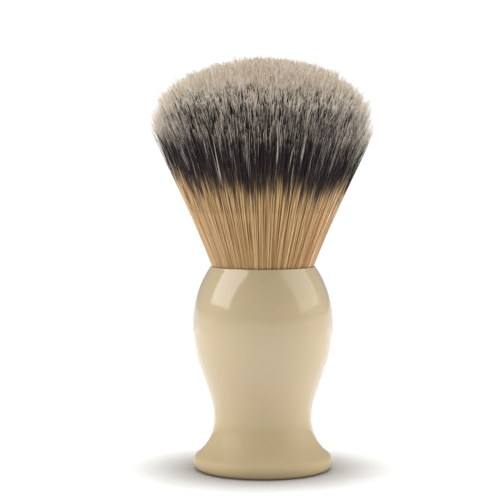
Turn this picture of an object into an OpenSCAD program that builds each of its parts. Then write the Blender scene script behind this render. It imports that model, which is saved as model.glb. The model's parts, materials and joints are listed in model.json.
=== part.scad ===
// Shaving brush: a turned resin handle with a glued-in knot of synthetic bristles.
// The brush stands on the plane z = 0 with its axis along +Z. All sizes are in millimetres.
// The bristles are drawn as closed solids with the outline of the whole bundle, cut into
// nested domes that follow equal bristle lengths and let the knot bend in two directions.

/* [Handle] */
// Height of the handle, from the base to the mouth of the socket
handle_h = 52; // [50:0.5:54]
// Diameter of the belly at its widest band
belly_d = 35.7; // [35.4:0.1:36]
// Height where the belly begins to narrow towards the lip
belly_top_z = 37.8; // [37.4:0.1:38.4]
// Height where the belly begins to narrow towards the waist
belly_side_z = 36.4; // [36:0.1:37]
// Diameter of the waist above the foot
waist_d = 25; // [24.8:0.1:25.2]
// Height of the waist
waist_z = 13; // [12.9:0.1:13.1]
// Diameter of the foot
foot_d = 35.7; // [35.4:0.1:36]
// Outer diameter of the lip around the mouth
lip_d = 27; // [26.8:0.1:28]
// Bevel on the outer edge of the lip
lip_bevel = 0.15; // [0.05:0.05:0.3]
// Radius of the belly's curve towards the waist
belly_side_r = 31; // [30:0.5:32]
// Radius of the hollow curve above the waist
upper_cove_r = 16.5; // [15.5:0.5:16.5]
// Radius of the hollow curve below the waist
lower_cove_r = 11.3; // [11.2:0.1:11.4]

/* [Socket] */
// Diameter of the bored socket
socket_d = 26; // [25.8:0.1:26.2]
// Thickness of the adhesive under the plug
glue_bed = 1; // [0.5:0.1:1.5]
// Diameter of the pilot hole under the socket
pilot_d = 6; // [4:0.5:8]
// Depth of the pilot hole's straight wall below the socket's floor
pilot_depth = 2; // [1:0.5:4]
// Point angle of the pilot drill
drill_point = 118; // [90:1:140]

/* [Knot base] */
// Diameter of the cast resin plug
plug_d = 25.4; // [25:0.1:25.6]
// Height of the plug
plug_h = 9; // [8:0.5:10]
// Depth of the plug's top below the mouth
plug_sink = 2; // [1.5:0.5:3]
// Thickness of the plug's wall and floor around the bristle roots
plug_skin = 0.8; // [0.7:0.1:1]
// Thickness of the binding thread
thread_d = 0.5; // [0.3:0.1:0.6]
// Turns of the binding thread
thread_turns = 6; // [3:1:8]

/* [Knot] */
// Height of the knot's widest ring above the mouth
rim_h = 36; // [35:0.5:37]
// Diameter of that ring
rim_d = 55.8; // [55:0.1:56.5]
// Height of the domed crown above that ring
crown_h = 17.6; // [17:0.1:18.5]

/* [Bending] */
// Height of the front-back bending axis above the mouth
fore_pivot_h = 7; // [6:0.5:8]
// Height of the left-right bending axis above the mouth
side_pivot_h = 14; // [13:0.5:15]
// Height above the mouth where the fixed bristles end, measured at the knot's side
root_top_h = 10; // [9:0.5:11]
// Height above the mouth where the amber bristles end, measured at the knot's side
amber_top_h = 20.5; // [19.5:0.5:21.5]
// Free gap between two bristle solids that slide on each other
slide_gap = 0.3; // [0.3:0.05:0.5]

/* [Tip band] */
// Height above the mouth where the pale tips begin, measured at the knot's side
tip_side_h = 33; // [32:0.5:34]
// Height above the mouth where the pale tips begin, measured on the axis
tip_axis_h = 43; // [42:0.5:44]

/* [Hidden] */

round_fn = 128;
thread_fn = 24;
arc_steps = 8;
crown_steps = 18;
crown_start = -5; // angle on the crown's ellipse where the straight side meets it
thread_pitch = 1.1 * thread_d;
beyond = 1; // how far a cutting solid runs past what it cuts

belly_r = belly_d / 2;
waist_r = waist_d / 2;
foot_r = foot_d / 2;
lip_r = lip_d / 2;
socket_r = socket_d / 2;
pilot_r = pilot_d / 2;
plug_r = plug_d / 2;
rim_r = rim_d / 2;

// Belly above its widest band: an arc that stands upright there and ends at the lip's bevel
lip_rise = handle_h - lip_bevel - belly_top_z;
lip_inset = belly_r - lip_r;
belly_top_r = (pow(lip_rise, 2) + pow(lip_inset, 2)) / (2 * lip_inset);
belly_top_c = [belly_r - belly_top_r, belly_top_z];
belly_top_end = asin(lip_rise / belly_top_r);

// Belly below its widest band and hollow above the waist: two arcs and their common tangent
belly_side_c = [belly_r - belly_side_r, belly_side_z];
upper_cove_c = [waist_r + upper_cove_r, waist_z];
centre_step = upper_cove_c - belly_side_c;
side_lean = atan2(-centre_step.y, centre_step.x)
    - acos((belly_side_r + upper_cove_r) / norm(centre_step));

// Foot: one round edge that touches both the base plane and the hollow below the waist
lower_cove_c = [waist_r + lower_cove_r, waist_z];
cove_reach = lower_cove_c.x - foot_r;
half_b = cove_reach - waist_z - lower_cove_r;
const_c = pow(cove_reach, 2) + pow(waist_z, 2) - pow(lower_cove_r, 2);
edge_r = -half_b - sqrt(pow(half_b, 2) - const_c);
edge_c = [foot_r - edge_r, edge_r];
edge_end = atan2(lower_cove_c.y - edge_c.y, lower_cove_c.x - edge_c.x);

socket_depth = plug_sink + plug_h + glue_bed;
socket_z = handle_h - socket_depth;
pilot_point_h = pilot_r / tan(drill_point / 2);
plug_top_z = handle_h - plug_sink;
plug_z = plug_top_z - plug_h;
root_end_r = plug_r - plug_skin;
root_end_z = plug_z + plug_skin;
root_end_h = plug_top_z - root_end_z;
thread_band_h = thread_turns * thread_pitch;
thread_band_z = root_end_z + (root_end_h - thread_band_h) / 2;

side_corner = [rim_r * cos(crown_start), rim_h + crown_h * sin(crown_start)];
root_dome_r = norm([knot_side_r(root_top_h), root_top_h - fore_pivot_h]);
amber_dome_r = norm([knot_side_r(amber_top_h), amber_top_h - side_pivot_h]);
tip_rise = tip_axis_h - tip_side_h;
tip_dome_r = (pow(knot_side_r(tip_side_h), 2) + pow(tip_rise, 2)) / (2 * tip_rise);

// Radius of the knot's straight side at height h above the mouth
function knot_side_r(h) = socket_r + (side_corner.x - socket_r) * h / side_corner.y;

// Points along a circular arc
function arc(centre, r, from, to) = [
    for (i = [0:arc_steps])
        let (a = from + (to - from) * i / arc_steps)
        centre + r * [cos(a), sin(a)]
];

module handle_outline() {
    polygon(concat(
        [[0, 0]],
        arc(edge_c, edge_r, -90, edge_end),
        arc(lower_cove_c, lower_cove_r, 180 + edge_end, 180),
        arc(upper_cove_c, upper_cove_r, 180, 180 - side_lean),
        arc(belly_side_c, belly_side_r, -side_lean, 0),
        arc(belly_top_c, belly_top_r, 0, belly_top_end),
        [[lip_r - lip_bevel, handle_h], [0, handle_h]]
    ));
}

// Space of the pilot hole, from its point up to a height above the socket's floor
module pilot_hole(above) {
    translate([0, 0, socket_z - pilot_depth]) {
        cylinder(r = pilot_r, h = pilot_depth + above, $fn = round_fn);
        translate([0, 0, -pilot_point_h])
            cylinder(r1 = 0, r2 = pilot_r, h = pilot_point_h, $fn = round_fn);
    }
}

module handle() {
    color("#d9c9a3")
    difference() {
        rotate_extrude($fn = round_fn) handle_outline();
        translate([0, 0, socket_z])
            cylinder(r = socket_r, h = socket_depth + beyond, $fn = round_fn);
        pilot_hole(beyond);
    }
}

// Adhesive in the pilot hole, under the plug and in the thin gap around it
module socket_epoxy() {
    color("#c9b27a")
    difference() {
        union() {
            translate([0, 0, socket_z])
                cylinder(r = socket_r, h = plug_top_z - socket_z, $fn = round_fn);
            pilot_hole(glue_bed / 2);
        }
        translate([0, 0, plug_z]) cylinder(r = plug_r, h = plug_h + beyond, $fn = round_fn);
    }
}

// Cast cup around the bristle roots, with a band left free for the thread
module knot_plug() {
    color("#8a6a3c")
    difference() {
        translate([0, 0, plug_z]) cylinder(r = plug_r, h = plug_h, $fn = round_fn);
        translate([0, 0, root_end_z])
            cylinder(r = root_end_r, h = root_end_h + beyond, $fn = round_fn);
        translate([0, 0, thread_band_z])
            cylinder(r = root_end_r + thread_d, h = thread_band_h, $fn = round_fn);
    }
}

// Lower ends of the bristles, cast solid inside the plug
module root_ends() {
    color("#b98a4a")
    translate([0, 0, root_end_z]) cylinder(r = root_end_r, h = root_end_h, $fn = round_fn);
}

// Thread wound around the roots, each turn drawn as a closed ring
module binding_thread() {
    color("#efe9dc")
    for (turn = [0:thread_turns - 1])
        translate([0, 0, thread_band_z + (turn + 0.5) * thread_pitch])
            rotate_extrude($fn = round_fn)
                translate([root_end_r + thread_d / 2, 0]) circle(d = thread_d, $fn = thread_fn);
}

// Whole bundle above the plug: a straight flaring side under an elliptical crown
module knot() {
    translate([0, 0, handle_h])
        rotate_extrude($fn = round_fn)
            polygon(concat(
                [[0, -plug_sink], [plug_r, -plug_sink], [socket_r, 0]],
                [
                    for (i = [0:crown_steps - 1])
                        let (a = crown_start + (90 - crown_start) * i / crown_steps)
                        [rim_r * cos(a), rim_h + crown_h * sin(a)]
                ],
                [[0, rim_h + crown_h]]
            ));
}

// Dome of radius r around the axis, its centre at height h above the mouth
module dome(h, r) {
    translate([0, 0, handle_h + h]) sphere(r = r, $fn = round_fn);
}

// Bristles that the socket holds still
module root_bristles() {
    color("#d2a873")
    intersection() {
        knot();
        dome(fore_pivot_h, root_dome_r);
    }
}

// Bristles between the two bending axes
module neck_bristles() {
    color("#c99e66")
    difference() {
        intersection() {
            knot();
            dome(side_pivot_h, amber_dome_r);
        }
        dome(fore_pivot_h, root_dome_r + slide_gap);
    }
}

// Dark middle band of the bristles
module dark_bristles() {
    color("#3a2c2c")
    difference() {
        intersection() {
            knot();
            dome(tip_axis_h - tip_dome_r, tip_dome_r);
        }
        dome(side_pivot_h, amber_dome_r + slide_gap);
    }
}

// Pale tips of the bristles
module tip_bristles() {
    color("#dcc8a8")
    difference() {
        knot();
        dome(tip_axis_h - tip_dome_r, tip_dome_r);
    }
}

handle();
socket_epoxy();
knot_plug();
root_ends();
binding_thread();
root_bristles();
neck_bristles();
dark_bristles();
tip_bristles();
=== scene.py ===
"""Shaving brush: a glossy cream resin handle and a knot of separate tri-colour bristles."""
import json
import math

import bpy
import numpy as np
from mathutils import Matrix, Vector

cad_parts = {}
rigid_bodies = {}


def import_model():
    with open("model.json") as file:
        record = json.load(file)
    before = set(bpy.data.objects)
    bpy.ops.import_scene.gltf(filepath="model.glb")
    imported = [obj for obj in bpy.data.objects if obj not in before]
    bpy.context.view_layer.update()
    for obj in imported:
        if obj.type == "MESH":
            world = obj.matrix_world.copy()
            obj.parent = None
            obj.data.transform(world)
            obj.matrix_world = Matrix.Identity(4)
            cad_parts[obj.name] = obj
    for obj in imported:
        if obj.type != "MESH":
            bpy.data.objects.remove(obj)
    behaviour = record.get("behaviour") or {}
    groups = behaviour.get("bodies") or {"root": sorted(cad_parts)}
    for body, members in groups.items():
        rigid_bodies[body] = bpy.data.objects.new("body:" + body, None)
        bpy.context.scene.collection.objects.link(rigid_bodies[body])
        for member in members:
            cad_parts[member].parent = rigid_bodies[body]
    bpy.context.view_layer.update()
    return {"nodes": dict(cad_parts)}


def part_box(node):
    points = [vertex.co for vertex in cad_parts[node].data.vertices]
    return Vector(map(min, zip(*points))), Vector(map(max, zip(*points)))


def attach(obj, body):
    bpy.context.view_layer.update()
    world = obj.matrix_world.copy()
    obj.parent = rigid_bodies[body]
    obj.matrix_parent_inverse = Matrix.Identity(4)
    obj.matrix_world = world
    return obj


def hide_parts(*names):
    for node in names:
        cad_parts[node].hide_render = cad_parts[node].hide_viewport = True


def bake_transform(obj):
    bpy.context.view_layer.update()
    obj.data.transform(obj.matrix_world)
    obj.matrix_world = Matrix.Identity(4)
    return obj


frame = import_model()

MM = 0.001
SEED = 26

# ---------------------------------------------------------------- sizes, from the frame, in metres
handle_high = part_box("handle")[1]
knot_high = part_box("tip_bristles")[1]
plug_low, plug_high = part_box("knot_plug")
ends_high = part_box("root_ends")[1]
socket_low, socket_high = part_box("socket_epoxy")

MOUTH_Z = handle_high[2]
BELLY_R = handle_high[0]
SOCKET_R = socket_high[0]
PLUG_TOP = plug_high[2] - MOUTH_Z
RIM_R = knot_high[0]
APEX_H = knot_high[2] - MOUTH_Z

# ---------------------------------------------------------------- small helpers


def linear(hex_colour):
    """An sRGB hex colour as linear RGBA."""
    parts = [int(hex_colour[i:i + 2], 16) / 255 for i in (1, 3, 5)]
    return tuple(c / 12.92 if c <= 0.04045 else ((c + 0.055) / 1.055) ** 2.4 for c in parts) + (1,)


def add_node(tree, kind, inputs=None, **settings):
    """A new node. Each input named is linked to a socket, or set to a value."""
    node = tree.nodes.new(kind)
    for key, value in settings.items():
        setattr(node, key, value)
    for key, value in (inputs or {}).items():
        if isinstance(value, bpy.types.NodeSocket):
            tree.links.new(value, node.inputs[key])
        else:
            node.inputs[key].default_value = value
    return node


class Nodes:
    """A material's node tree, with short calls that make and link nodes."""

    def __init__(self, name):
        self.material = bpy.data.materials.new(name)
        self.material.use_nodes = True
        self.tree = self.material.node_tree
        self.shader = self.tree.nodes["Principled BSDF"]

    def add(self, kind, inputs=None, **settings):
        return add_node(self.tree, kind, inputs, **settings)

    def math(self, operation, a, b=0.0):
        return self.add("ShaderNodeMath", {0: a, 1: b}, operation=operation).outputs[0]

    def mix(self, factor, a, b):
        """A blend of two colours, whose sockets are the mix node's inputs 6 and 7."""
        return self.add("ShaderNodeMix", {0: factor, 6: a, 7: b}, data_type="RGBA").outputs[2]

    def noise(self, vector, scale, detail=2.0, roughness=0.5):
        inputs = {"Vector": vector, "Scale": scale, "Detail": detail, "Roughness": roughness}
        return self.add("ShaderNodeTexNoise", inputs).outputs["Fac"]

    def place(self):
        return self.add("ShaderNodeTexCoord").outputs["Object"]

    def scaled(self, vector, scale):
        return self.add("ShaderNodeMapping", {"Vector": vector, "Scale": scale}).outputs["Vector"]

    def band(self, value, low, high):
        """0 below low, 1 above high, and a smooth step between."""
        inputs = {"Value": value, "From Min": low, "From Max": high}
        node = self.add("ShaderNodeMapRange", inputs, interpolation_type="SMOOTHSTEP")
        return node.outputs["Result"]

    def bump(self, height, strength, distance):
        inputs = {"Height": height, "Strength": strength, "Distance": distance}
        self.link(self.add("ShaderNodeBump", inputs).outputs["Normal"], "Normal")

    def link(self, output, socket):
        self.tree.links.new(output, self.shader.inputs[socket])

    def set(self, **values):
        for socket, value in values.items():
            self.shader.inputs[socket.replace("_", " ")].default_value = value


def mesh_object(name, points, faces, material):
    """A smooth mesh object from an array of points and an array of triangles."""
    mesh = bpy.data.meshes.new(name)
    mesh.vertices.add(len(points))
    mesh.vertices.foreach_set("co", points.astype(np.float32).ravel())
    mesh.loops.add(faces.size)
    mesh.loops.foreach_set("vertex_index", faces.astype(np.int32).ravel())
    mesh.polygons.add(len(faces))
    mesh.polygons.foreach_set("loop_start", np.arange(0, faces.size, 3, dtype=np.int32))
    mesh.update(calc_edges=True)
    mesh.polygons.foreach_set("use_smooth", np.full(len(faces), True))
    mesh.materials.append(material)
    piece = bpy.data.objects.new(name, mesh)
    bpy.context.scene.collection.objects.link(piece)
    return piece


def set_up(data, place, target):
    """An object for a camera or a lamp, named as its data, at one point and facing another."""
    item = bpy.data.objects.new(data.name, data)
    item.location = place
    item.rotation_euler = (Vector(target) - item.location).to_track_quat("-Z", "Y").to_euler()
    bpy.context.scene.collection.objects.link(item)
    return item


# ---------------------------------------------------------------- camera
CAMERA_DISTANCE = 430 * MM
CAMERA_HEIGHT = 79 * MM
CAMERA_AIM_HEIGHT = 56.2 * MM
CAMERA_SIDE = -3.3 * MM
CAMERA_LENS = 121.4  # millimetres

camera_data = bpy.data.cameras.new("camera")
camera_data.lens = CAMERA_LENS
camera_place = (CAMERA_SIDE, -CAMERA_DISTANCE, CAMERA_HEIGHT)
camera_target = (CAMERA_SIDE, 0, CAMERA_AIM_HEIGHT)
bpy.context.scene.camera = set_up(camera_data, camera_place, camera_target)

# ---------------------------------------------------------------- materials
FIBRE_UV = "OFBake"
PALE_V, DARK_V = 0.1, 0.2  # shares of V that the pale tip and the dark band take
PALE_RUN, DARK_RUN = 0.025, 0.04  # half the V over which one dye passes into the next


def handle_resin():
    """Polished cast resin: faint clouding in the colour, very fine marks around the axis."""
    n = Nodes("handle_resin")
    place = n.place()
    base = n.mix(n.noise(place, 55, 4, 0.6), linear("#baa783"), linear("#c2b08d"))
    base = n.mix(n.math("MULTIPLY", n.noise(place, 16, 3), 0.35), base, linear("#ac9971"))
    n.link(base, "Base Color")
    n.bump(n.noise(n.scaled(place, (1, 1, 14)), 420, 3, 0.6), 0.05, 0.00002)
    height = n.add("ShaderNodeSeparateXYZ", {"Vector": place}).outputs["Z"]
    polish = n.band(height, 6 * MM, 24 * MM)  # the foot is less polished than the belly
    n.link(n.math("ADD", 0.12, n.math("MULTIPLY", polish, 0.88)), "Coat Weight")
    n.link(n.math("ADD", 0.06, n.math("MULTIPLY", polish, 0.44)), "Specular IOR Level")
    n.set(Roughness=0.2, IOR=1.5, Subsurface_Weight=0.12, Subsurface_Scale=0.004)
    n.set(Coat_Roughness=0.05)
    return n.material


def bristle_fibre(name):
    """Dyed fibre. V counts back from the fibre's tip, U is its own shade, raised at the far left
    and right as painted light.
    """
    n = Nodes(name)
    uv = n.add("ShaderNodeUVMap", uv_map=FIBRE_UV).outputs["UV"]
    parts = n.add("ShaderNodeSeparateXYZ", {"Vector": uv}).outputs
    along = parts["Y"]
    shade = n.band(n.noise(n.scaled(uv, (38, 2.5, 1)), 1, 1), 0.3, 0.7)
    amber = n.mix(shade, linear("#9c6414"), linear("#fddba2"))
    tint_and_side_light = n.band(parts["X"], 0.42, 0.92)  # fibres with a high U are paler and pinker; at the far sides this is painted light
    amber = n.mix(n.math("MULTIPLY", tint_and_side_light, 0.85), amber, linear("#efd2b8"))
    dark = n.mix(shade, linear("#150f11"), linear("#3c2a30"))
    pale = n.mix(shade, linear("#e0d0b7"), linear("#faf3eb"))
    dark_end, pale_end = 1 - PALE_V - DARK_V, 1 - PALE_V
    colour = n.mix(n.band(along, dark_end - DARK_RUN, dark_end + DARK_RUN), amber, dark)
    colour = n.mix(n.band(along, pale_end - PALE_RUN, pale_end + PALE_RUN), colour, pale)
    n.link(colour, "Base Color")
    n.set(Roughness=0.42, IOR=1.5)
    return n.material


def grained(name, low, high, scale, roughness, relief):
    """A cast or wound inner piece: two shades in a noise pattern, the same noise as relief."""
    n = Nodes(name)
    grain = n.noise(n.place(), scale, 4, 0.6)
    n.link(n.mix(grain, linear(low), linear(high)), "Base Color")
    n.bump(grain, relief, 0.0001)
    n.set(Roughness=roughness)
    return n.material


def cut_fibre_ends():
    """Fibre ends set in clear resin: round cells with darker resin between them."""
    n = Nodes("cast_roots")
    cells = n.add("ShaderNodeTexVoronoi", {"Vector": n.place(), "Scale": 4200}).outputs["Distance"]
    n.link(n.mix(n.band(cells, 0.35, 0.6), linear("#c08c4c"), linear("#6b4520")), "Base Color")
    n.bump(cells, 0.3, 0.00005)
    n.set(Roughness=0.45)
    return n.material


# ---------------------------------------------------------------- handle
ROUND = 256
ARC_STEPS = 26
WAIST_R, WAIST_Z = 12.5 * MM, 13 * MM
BELLY_TOP_Z, BELLY_SIDE_Z = 37.8 * MM, 36.4 * MM  # ends of the belly's upright band
BELLY_SIDE_R = 31 * MM
UPPER_COVE_R, LOWER_COVE_R = 16.5 * MM, 11.3 * MM
LIP_R, LIP_ROUND = 13.5 * MM, 0.15 * MM
PILOT_R, PILOT_DEPTH = 3 * MM, 2 * MM
GLUE_BED = 1 * MM


def arc(centre, radius, start, end, steps=ARC_STEPS):
    """Points (r, z) along a circular arc between two angles in radians."""
    angles = np.linspace(start, end, steps + 1)
    return [(centre[0] + radius * math.cos(a), centre[1] + radius * math.sin(a)) for a in angles]


def handle_outline():
    """Half section of the handle: under the base, up the outside, and down into the socket."""
    rise, inset = MOUTH_Z - LIP_ROUND - BELLY_TOP_Z, BELLY_R - LIP_R
    top_r = (rise ** 2 + inset ** 2) / (2 * inset)
    side_c = (BELLY_R - BELLY_SIDE_R, BELLY_SIDE_Z)
    upper_c = (WAIST_R + UPPER_COVE_R, WAIST_Z)
    across, down = upper_c[0] - side_c[0], side_c[1] - upper_c[1]
    lean = math.atan2(down, across)
    lean -= math.acos((BELLY_SIDE_R + UPPER_COVE_R) / math.hypot(across, down))
    lower_c = (WAIST_R + LOWER_COVE_R, WAIST_Z)
    reach = lower_c[0] - BELLY_R
    half_b = reach - WAIST_Z - LOWER_COVE_R
    edge_r = -half_b - math.sqrt(half_b ** 2 - reach ** 2 - WAIST_Z ** 2 + LOWER_COVE_R ** 2)
    edge_c = (BELLY_R - edge_r, edge_r)
    edge_end = math.atan2(lower_c[1] - edge_c[1], lower_c[0] - edge_c[0])
    socket_floor = plug_low[2] - GLUE_BED
    lip_start = math.asin(rise / top_r)
    return [
        (0, 0),
        *arc(edge_c, edge_r, -math.pi / 2, edge_end),
        *arc(lower_c, LOWER_COVE_R, math.pi + edge_end, math.pi)[1:],
        *arc(upper_c, UPPER_COVE_R, math.pi, math.pi - lean)[1:],
        *arc(side_c, BELLY_SIDE_R, -lean, 0),
        *arc((BELLY_R - top_r, BELLY_TOP_Z), top_r, 0, lip_start),
        *arc((LIP_R - LIP_ROUND, MOUTH_Z - LIP_ROUND), LIP_ROUND, lip_start, math.pi / 2, 6)[1:],
        (SOCKET_R, MOUTH_Z),
        (SOCKET_R, socket_floor),
        (PILOT_R, socket_floor),
        (PILOT_R, socket_floor - PILOT_DEPTH),
        (0, socket_low[2]),
    ]


def lathe(name, outline, material):
    """A closed solid of revolution from a half section whose two ends lie on the axis."""
    ring = np.array(outline[1:-1])
    angles = np.linspace(0, 2 * math.pi, ROUND, endpoint=False)
    shell = np.stack([
        ring[:, None, 0] * np.cos(angles),
        ring[:, None, 0] * np.sin(angles),
        np.repeat(ring[:, 1:], ROUND, axis=1),
    ], axis=-1).reshape(-1, 3)
    points = np.vstack([shell, [[0, 0, outline[0][1]], [0, 0, outline[-1][1]]]])
    rows, turn = len(ring), np.arange(ROUND)
    after = (turn + 1) % ROUND
    faces = []
    for row in range(rows - 1):
        low, high = row * ROUND, (row + 1) * ROUND
        faces.append(np.stack([low + turn, low + after, high + after], axis=1))
        faces.append(np.stack([low + turn, high + after, high + turn], axis=1))
    bottom, top, last = rows * ROUND, rows * ROUND + 1, (rows - 1) * ROUND
    faces.append(np.stack([np.full(ROUND, bottom), after, turn], axis=1))
    faces.append(np.stack([np.full(ROUND, top), last + turn, last + after], axis=1))
    piece = mesh_object(name, points, np.vstack(faces), material)
    piece.data.set_sharp_from_angle(angle=math.radians(35))
    return piece


handle = lathe("turned_handle", handle_outline(), handle_resin())
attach(handle, "handle")
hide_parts("handle")

# ---------------------------------------------------------------- pieces inside the socket
INNER = {
    "socket_epoxy": grained("adhesive", "#b89a5c", "#d8bf86", 900, 0.3, 0.2),
    "knot_plug": grained("plug_resin", "#7d5c32", "#9a7442", 1400, 0.5, 0.3),
    "root_ends": cut_fibre_ends(),
    "binding_thread": grained("thread", "#ded6c4", "#f5f0e4", 6000, 0.8, 0.8),
}
for node_name, material in INNER.items():
    node = frame["nodes"][node_name]
    node.data.materials.clear()
    node.data.materials.append(material)

# ---------------------------------------------------------------- knot: the paths of its fibres
FIBRES = 24000
CLUMPS = 420
BUNCHES = 8000
SIDES = 3  # of a fibre's cross-section, so that one triangle closes each end
CORE_SHARE = 0.84  # the fibres within this share of the root radius show only their tips
ROOT_R = SOCKET_R - 0.05 * MM  # outermost fibre at the mouth
CAST_R = ends_high[0] - 0.05 * MM  # outermost fibre where it leaves the cast ends

FIBRE_R = 0.072 * MM
FULLNESS = 0.85, 1.12  # range of the fibres' radii as shares of that one
CORE_FULLNESS = 1.25
TIP_SHARE, CORE_TIP_SHARE = 0.22, 0.6  # radius at the tip as a share of the full radius
TAPER_LENGTH, CORE_TAPER_LENGTH = 18 * MM, 9 * MM
TAPER_POWER = 0.8  # below 1, so that a fibre thickens fastest just behind its tip

CROWN_H = 17.6 * MM
RIM_H = APEX_H - CROWN_H
TRIM = 0.8 * MM  # how far a fibre of middling length stays below the crown
LEFT_LIFT, FRONT_DROP = 1.2 * MM, 1.6 * MM  # of the crown, at the rim
FLARE = 0.0338 / MM  # growth of a fibre's distance from the axis, per metre of height
TUCK, TUCK_RUN = 0.6 * MM, 5 * MM  # the flank stays a little steeper just above the mouth

# Standard deviations of what a fibre shares with its clump, with its bunch, and has alone
CLUMP_ROOT, BUNCH_ROOT, FIBRE_ROOT = 0.12 * MM, 0.04 * MM, 0.03 * MM
CLUMP_SHIFT, BUNCH_SHIFT, FIBRE_SHIFT = 0.28 * MM, 0.6 * MM, 0.06 * MM  # sideways, at the tip
CLUMP_LENGTH, BUNCH_LENGTH, FIBRE_LENGTH = 0.22 * MM, 0.3 * MM, 0.15 * MM
CLUMP_DARK, BUNCH_DARK, FIBRE_DARK = 0.6 * MM, 1.1 * MM, 0.9 * MM
BUNCH_PALE, FIBRE_PALE = 0.55, 0.25  # of the logarithm of the pale length
PALE_SPREAD_GROWTH = 1.6  # how fast those two come in from the axis outwards
BUNCH_SPLAY, CORE_SPLAY, FLANK_SPLAY = 0.6 * MM, 0.5 * MM, 0.1 * MM
SPLAY_LENGTH = 8 * MM  # from the tip, over which fibres lean away from their neighbours
RIM_STEADINESS = 0.65  # share by which bunches at the flank shift and splay less
WAVE_SIZE, WAVE_LENGTH = (0.04 * MM, 0.16 * MM), (14 * MM, 26 * MM)
CLUMP_PULL = 0.22  # share of the way to the clump's middle that a tip is drawn
BUNCH_PULL_LOW, BUNCH_PULL_GROWTH = 0.1, 0.6  # the same to the bunch: low down, added higher
SHORTER_FIBRES = 0.3  # share of the fibres that are shorter than the rest
SHORTER_BY, SHORTEST_BY = 2.6 * MM, 13 * MM  # on average, at most

# Dyes, and painted side light: lengths from the tip
PALE_AT_RIM, PALE_ON_AXIS = 0.5 * MM, 11 * MM
PALE_FALL = 3.8  # how fast the pale length falls from the axis to the rim
SIDE_LIGHT_PALE_LENGTH = 3.2 * MM  # added at the far left and right, as painted light on the crown's sides
PALE_FIBRES, PALE_FIBRE_EXTRA = 0.09, (3 * MM, 13 * MM)  # share with more pale, how much more
PALE_BUNCHES, PALE_BUNCH_EXTRA = 0.05, (3 * MM, 14 * MM)
PALE_MINIMUM, DARK_MINIMUM = 0.4 * MM, 1.5 * MM
DARK_LENGTH = 14.8 * MM  # to the dark band's lower end
DARK_LESS_AT_SIDES = 1.4 * MM
AMBER_SPAN = 65 * MM  # length of amber that would take a whole unit of V
BUNCH_SHADE, FIBRE_SHADE, PAINTED_SIDE_LIGHT = 0.4, 0.22, 0.38  # shares of U; the side share is painted light, paler and pinker at the far left and right
FACE_SHADE = 0.003  # step in U from one side of a fibre to the next

rng = np.random.default_rng(SEED)


def spread_points(count, radius):
    """Evenly spread points over a disc, in the pattern of sunflower seeds."""
    index = np.arange(count) + 0.5
    distance = radius * np.sqrt(index / count)
    angle = index * math.pi * (3 - math.sqrt(5))
    return np.stack([distance * np.cos(angle), distance * np.sin(angle)], axis=1)


def nearest(points, centres, blocks=30):
    """For each point, the index of the nearest centre, worked out in blocks to save memory."""
    picked = [((block[:, None] - centres) ** 2).sum(axis=2).argmin(axis=1)
              for block in np.array_split(points, blocks)]
    return np.concatenate(picked)


def flare(height):
    """How many times farther from the axis a fibre is at a height above the mouth than at it."""
    above = np.maximum(height, 0)
    grown = 1 + FLARE * (above - TUCK * (1 - np.exp(-above / TUCK_RUN)))
    return grown - (1 - CAST_R / ROOT_R) * np.clip(-height / -PLUG_TOP, 0, 1)


def crown_height(root_distance):
    """Height above the mouth where a fibre with that root distance meets the domed crown."""
    low, high = np.full(root_distance.shape, RIM_H * 0.8), np.full(root_distance.shape, APEX_H)
    for _ in range(30):
        middle = (low + high) / 2
        out = (root_distance * flare(middle) / RIM_R) ** 2
        out += np.maximum((middle - RIM_H) / CROWN_H, 0) ** 2
        low, high = np.where(out < 1, middle, low), np.where(out < 1, high, middle)
    return low


roots = spread_points(FIBRES, ROOT_R)
roots += rng.normal(0, FIBRE_ROOT, roots.shape)
distance = np.minimum(np.hypot(roots[:, 0], roots[:, 1]), ROOT_R)
core = distance < CORE_SHARE * ROOT_R
clump_roots = spread_points(CLUMPS, ROOT_R) + rng.normal(0, CLUMP_ROOT, (CLUMPS, 2))
clump = nearest(roots, clump_roots)
bunch_roots = spread_points(BUNCHES, ROOT_R) + rng.normal(0, BUNCH_ROOT, (BUNCHES, 2))
bunch = nearest(roots, bunch_roots)
bunch_shade = rng.random(BUNCHES)
clump_shift = rng.normal(0, CLUMP_SHIFT, (CLUMPS, 2))
clump_length = rng.normal(0, CLUMP_LENGTH, CLUMPS)
steadier = 1 - RIM_STEADINESS * np.clip(np.hypot(*bunch_roots.T) / ROOT_R, 0, 1)[:, None] ** 6
bunch_shift = rng.normal(0, BUNCH_SHIFT, (BUNCHES, 2)) * steadier
fibre_shift = rng.normal(0, FIBRE_SHIFT, (FIBRES, 2)) + bunch_shift[bunch]
bunch_splay = rng.normal(0, BUNCH_SPLAY, (BUNCHES, 2)) * steadier
splay = rng.normal(0, 1, (FIBRES, 2)) * np.where(core, CORE_SPLAY, FLANK_SPLAY)[:, None]
splay += bunch_splay[bunch]
wave_size = rng.uniform(*WAVE_SIZE, (FIBRES, 2))
wave_length = rng.uniform(*WAVE_LENGTH, (FIBRES, 1))
wave_phase = rng.uniform(0, 2 * math.pi, (FIBRES, 2))
turned = rng.uniform(0, 2 * math.pi, FIBRES)
bunch_length = rng.normal(0, BUNCH_LENGTH, BUNCHES)
fullness = rng.uniform(*FULLNESS, FIBRES) * np.where(core, CORE_FULLNESS, 1)

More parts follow.
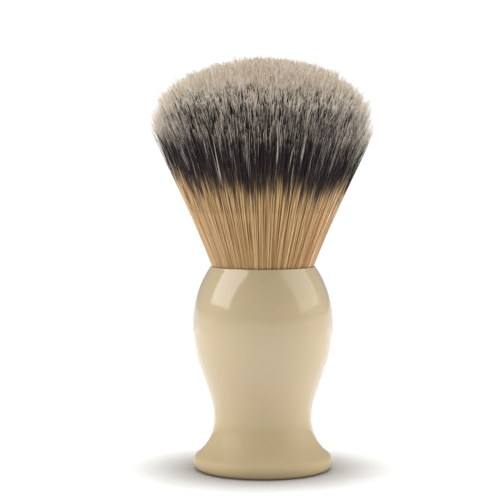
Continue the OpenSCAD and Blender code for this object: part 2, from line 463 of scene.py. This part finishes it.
ideal = crown_height(distance)
at_crown = roots * flare(ideal)[:, None]
is_shorter = rng.random(FIBRES) < SHORTER_FIBRES
shorter = np.where(is_shorter, rng.exponential(SHORTER_BY, FIBRES), 0)
length_jitter = rng.normal(0, FIBRE_LENGTH, FIBRES) + bunch_length[bunch] + clump_length[clump]
out = at_crown / RIM_R
tip = ideal + FRONT_DROP * np.hypot(*out.T) ** 2 * out[:, 1]
tip -= LEFT_LIFT * np.hypot(*out.T) ** 9 * out[:, 0]
tip += length_jitter - TRIM - np.minimum(shorter, SHORTEST_BY)
slant = np.hypot(1, distance * FLARE)  # length along a fibre for one unit of height

root_share = distance / ROOT_R
to_side = np.abs(out[:, 0])
pale_length = (PALE_ON_AXIS - PALE_AT_RIM) * (1 - np.minimum(root_share, 1) ** 2) ** PALE_FALL
# Painted side light: the pale tips grow longer towards the far left and right
pale_length += PALE_AT_RIM + SIDE_LIGHT_PALE_LENGTH * to_side ** 6
uneven = rng.normal(0, BUNCH_PALE, BUNCHES)[bunch] + rng.normal(0, FIBRE_PALE, FIBRES)
pale_length *= np.exp(uneven * np.minimum(PALE_SPREAD_GROWTH * root_share ** 2, 1))
is_paler = rng.random(FIBRES) < PALE_FIBRES
pale_length += np.where(is_paler, rng.uniform(*PALE_FIBRE_EXTRA, FIBRES), 0)
is_paler = rng.random(BUNCHES) < PALE_BUNCHES
pale_length += np.where(is_paler, rng.uniform(*PALE_BUNCH_EXTRA, BUNCHES), 0)[bunch]
dark_length = rng.normal(0, BUNCH_DARK, BUNCHES)[bunch] + rng.normal(0, FIBRE_DARK, FIBRES)
dark_length += DARK_LENGTH + rng.normal(0, CLUMP_DARK, CLUMPS)[clump]
dark_length -= DARK_LESS_AT_SIDES * to_side ** 4
pale_length = np.clip(pale_length, PALE_MINIMUM, dark_length - DARK_MINIMUM)
fibre_shade_and_side_light = BUNCH_SHADE * bunch_shade[bunch] + FIBRE_SHADE * rng.random(FIBRES)
# Painted side light: U rises towards the far left and right, so those fibres come out paler and
# pinker
fibre_shade_and_side_light += PAINTED_SIDE_LIGHT * np.minimum(to_side, 1) ** 3


def centre_line(of, height):
    """Points (x, y) on the fibres numbered by of, at heights of shape (fibres, rings)."""
    share = np.clip(height / tip[of, None], 0, 1)[..., None]
    path = roots[of, None, :] * flare(height)[..., None]
    pull = (clump_roots[clump[of]] - roots[of])[:, None, :] * flare(height)[..., None]
    path += pull * CLUMP_PULL * share ** 2
    gather = (bunch_roots[bunch[of]] - roots[of])[:, None, :] * flare(height)[..., None]
    path += gather * (BUNCH_PULL_LOW + BUNCH_PULL_GROWTH * share)
    path += (clump_shift[clump[of]] + fibre_shift[of])[:, None, :] * share ** 2
    near_tip = np.clip(1 - (tip[of, None] - height) / SPLAY_LENGTH, 0, 1)[..., None]
    path += splay[of, None, :] * near_tip ** 2
    angle = 2 * math.pi * height[..., None] / wave_length[of, None, :] + wave_phase[of, None, :]
    return path + wave_size[of, None, :] * share * np.sin(angle)


def dye_place(of, from_tip):
    """V at a distance from the tip: each fibre's own two changes of dye fall at the same V."""
    pale, dark = pale_length[of, None], dark_length[of, None]
    in_pale = PALE_V * from_tip / pale
    in_dark = PALE_V + DARK_V * (from_tip - pale) / (dark - pale)
    in_amber = PALE_V + DARK_V + (from_tip - dark) / AMBER_SPAN
    return 1 - np.where(from_tip < pale, in_pale, np.where(from_tip < dark, in_dark, in_amber))


def keep_ends_sharp(mesh, fibre_points):
    """Marks the edges around each fibre's two end faces, so that its sides shade evenly."""
    ends = np.empty(len(mesh.edges) * 2, np.int32)
    mesh.edges.foreach_get("vertices", ends)
    ends = ends.reshape(-1, 2) % fibre_points
    around = (ends < SIDES).all(axis=1) | (ends >= fibre_points - SIDES).all(axis=1)
    mesh.attributes.new("sharp_edge", "BOOLEAN", "EDGE").data.foreach_set("value", around)


def strands(name, of, start, end, segments, material):
    """One mesh of three-sided tapered fibres between two heights above the mouth, ends closed."""
    steps = np.linspace(0, 1, segments + 1)
    height = start[:, None] + (end - start)[:, None] * steps
    line = centre_line(of, height)
    from_tip = (tip[of, None] - height) * slant[of, None]
    tip_share = np.where(core[of], CORE_TIP_SHARE, TIP_SHARE)[:, None]
    run = np.where(core[of], CORE_TAPER_LENGTH, TAPER_LENGTH)[:, None]
    taper = tip_share + (1 - tip_share) * np.clip(from_tip / run, 0, 1) ** TAPER_POWER
    radius = FIBRE_R * fullness[of, None] * taper
    corners = turned[of, None, None] + np.arange(SIDES) * 2 * math.pi / SIDES
    x = line[..., 0, None] + radius[..., None] * np.cos(corners)
    y = line[..., 1, None] + radius[..., None] * np.sin(corners)
    z = np.broadcast_to(MOUTH_Z + height[..., None], x.shape)
    points = np.stack([x, y, z], axis=-1).reshape(-1, 3)

    pattern = []
    for ring in range(segments):
        for side in range(SIDES):
            a, b = ring * SIDES + side, ring * SIDES + (side + 1) % SIDES
            pattern += [(a, b, b + SIDES), (a, b + SIDES, a + SIDES)]
    top = segments * SIDES
    pattern += [(2, 1, 0), (top, top + 1, top + 2)]
    fibre_points = (segments + 1) * SIDES
    first = np.arange(len(of))[:, None, None] * fibre_points
    faces = (np.array(pattern)[None] + first).reshape(-1, 3)
    piece = mesh_object(name, points, faces, material)
    keep_ends_sharp(piece.data, fibre_points)

    v = np.repeat(dye_place(of, from_tip)[..., None], SIDES, axis=2).reshape(-1)
    u = fibre_shade_and_side_light[of, None, None] * 0.98 + np.arange(SIDES) * FACE_SHADE + 0.002
    u = np.broadcast_to(u, (len(of), segments + 1, SIDES)).reshape(-1)
    corner_uv = np.stack([u[faces.ravel()], v[faces.ravel()]], axis=1)
    layer = piece.data.uv_layers.new(name=FIBRE_UV)
    layer.data.foreach_set("uv", np.clip(corner_uv, 0.001, 0.999).astype(np.float32).ravel())
    return piece


# ---------------------------------------------------------------- knot: its pieces
MOST_FACES = 190000  # in one piece
ROOT_DEPTH = 0.3 * MM  # how far the fibres reach down into the cast ends
SHORTEST_STRETCH = 0.05 * MM  # of one colour in one fibre
FIXED_UP_TO = 1 * MM  # above the mouth, as the next two
SPLIT_H = 14 * MM  # where the fibres split into lower and upper pieces; LOWER_BEND's range ends here and UPPER_BEND's begins
FULL_BEND_H = 34 * MM  # where UPPER_BEND's range ends
LOWER_BEND = ("handle", "knot_neck", FIXED_UP_TO, SPLIT_H)
UPPER_BEND = ("knot_neck", "knot_fan", SPLIT_H, FULL_BEND_H)

every = np.arange(FIBRES)
root = np.full(FIBRES, PLUG_TOP - ROOT_DEPTH)
split = np.full(FIBRES, SPLIT_H)
pale_from = tip - pale_length / slant
dark_from = tip - dark_length / slant

# Name, lower and upper ends, segments per fibre at the flank and in the core, bend, slot, nodes
BUNDLES = [
    ("amber_lower", root, np.minimum(dark_from, split), (5, 2), LOWER_BEND, "amber_bristle",
     ("root_bristles", "neck_bristles")),
    ("dark_lower", dark_from, split, (3, 1), LOWER_BEND, "dark_bristle", ()),
    ("amber_upper", split, dark_from, (2, 1), UPPER_BEND, "amber_bristle", ()),
    ("dark_upper", np.maximum(dark_from, split), pale_from, (4, 2), UPPER_BEND, "dark_bristle",
     ("dark_bristles",)),
    ("pale_tips", np.maximum(pale_from, split), tip, (4, 3), UPPER_BEND, "pale_bristle",
     ("tip_bristles",)),
]
dyes = {slot: bristle_fibre(slot) for slot in ("amber_bristle", "dark_bristle", "pale_bristle")}
for name, start, end, segments, bend, slot, nodes in BUNDLES:
    present = end - start > SHORTEST_STRETCH
    groups = ((name, every[present & ~core], segments[0]),
              (name + "_core", every[present & core], segments[1]))
    for group, members, count in groups:
        parts = math.ceil(len(members) * (count * SIDES * 2 + 2) / MOST_FACES)
        for part in range(parts):
            of = members[part::parts]
            label = group if parts == 1 else f"{group}_{part + 1}"
            piece = strands(label, of, start[of], end[of], count, dyes[slot])
            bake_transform(piece)
            if nodes and group == name and part == 0:
                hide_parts(*nodes)

# ---------------------------------------------------------------- floor, light
floor_look = Nodes("floor")
floor_grain = floor_look.noise(floor_look.place(), 300, 3)
floor_look.link(floor_look.mix(floor_grain, linear("#e6e6e6"), linear("#e9e9e9")), "Base Color")
floor_look.set(Roughness=1.0, Specular_IOR_Level=0.0)
bpy.ops.mesh.primitive_plane_add(size=0.6, location=(0, 0, 0))
floor = bpy.context.object
floor.name = "floor"
floor.data.materials.append(floor_look.material)


def lit_by(name, prefixes):
    """The collection of the pieces that a light falls on."""
    receivers = bpy.data.collections.new(name)
    for piece in bpy.context.scene.objects:
        if piece.type == "MESH" and piece.name.startswith(prefixes):
            receivers.objects.link(piece)
    return receivers


SOFTBOX_DISTANCE = 0.8
BRUSH_MIDDLE = (0, 0, 0.05)


def softbox(name, azimuth, elevation, size, radiance, receivers):
    """A rectangular softbox, its azimuth counted from the camera's side, both in degrees."""
    a, e = math.radians(azimuth), math.radians(elevation)
    toward = Vector((math.sin(a) * math.cos(e), -math.cos(a) * math.cos(e), math.sin(e)))
    data = bpy.data.lights.new(name, "AREA")
    data.shape = "RECTANGLE"
    data.size, data.size_y = size
    data.energy = radiance * math.pi * size[0] * size[1]
    lamp = set_up(data, SOFTBOX_DISTANCE * toward, BRUSH_MIDDLE)
    lamp.light_linking.receiver_collection = receivers
    return lamp


def beam(name, place, target, energy, spread, blend, receivers):
    """A narrow round beam from one point to another, its spread in degrees."""
    data = bpy.data.lights.new(name, "SPOT")
    data.energy = energy
    data.spot_size = math.radians(spread)
    data.spot_blend = blend
    data.shadow_soft_size = 0.05
    lamp = set_up(data, place, target)
    lamp.visible_glossy = False
    lamp.light_linking.receiver_collection = receivers


# Flags keep the softboxes off the floor, and the side fills off the crown as well
side_lit = lit_by("side_lit", ("turned_handle", "amber_"))
brush = lit_by("brush", ("turned_handle", "amber_", "dark_", "pale_", *frame["nodes"]))
softbox("window_left", -80, 40, size=(0.6, 0.7), radiance=2.2, receivers=brush)
softbox("window_right", 88, 38, size=(0.7, 0.75), radiance=0.9, receivers=brush)
for name, azimuth, radiance in (("side_left", -96, 2.6), ("side_right", 96, 3.8)):
    side_fill = softbox(name, azimuth, 5, (0.9, 0.5), radiance, side_lit)
    side_fill.visible_glossy = False

# From above the camera onto the crown alone, and from low in front onto the foot alone
crown_lit = lit_by("crown_lit", ("dark_", "pale_"))
beam("crown_beam", (0, -0.28, 0.595), (0, -0.002, 0.097),
     energy=18, spread=7, blend=0.5, receivers=crown_lit)
foot_lit = lit_by("foot_lit", ("turned_handle",))
beam("foot_beam", (0, -0.5, 0.012), (0, 0, 0.007),
     energy=4.6, spread=9, blend=1, receivers=foot_lit)

sun_data = bpy.data.lights.new("overhead", "SUN")
sun_data.energy = 3.3
sun_data.angle = math.radians(17)
set_up(sun_data, (0, 0, 1), (0, 0, 0)).visible_glossy = False

world = bpy.data.worlds.new("studio")
world.use_nodes = True
bpy.context.scene.world = world
tree = world.node_tree


def between(factor, start, end, low, high):
    """Low where the factor is at its start or below, high at its end or above."""
    inputs = {"Value": factor, "From Min": start, "From Max": end, "To Min": low, "To Max": high}
    return add_node(tree, "ShaderNodeMapRange", inputs).outputs["Result"]


ray = add_node(tree, "ShaderNodeTexCoord").outputs["Generated"]
direction = add_node(tree, "ShaderNodeSeparateXYZ", {"Vector": ray}).outputs
sky = between(direction["Y"], -0.2, 0.4, 0.38, 0.36)  # in front of the brush, behind it
lighting = between(direction["Z"], -0.02, 0.02, 0.85, sky)  # below the horizon, above
seen = add_node(tree, "ShaderNodeLightPath").outputs["Is Camera Ray"]
strength = between(seen, 0, 1, lighting, 1.05)
tree.links.new(strength, tree.nodes["Background"].inputs["Strength"])
tree.nodes["Background"].inputs["Color"].default_value = (1, 1, 1, 1)

bpy.context.scene.view_settings.view_transform = "Standard"
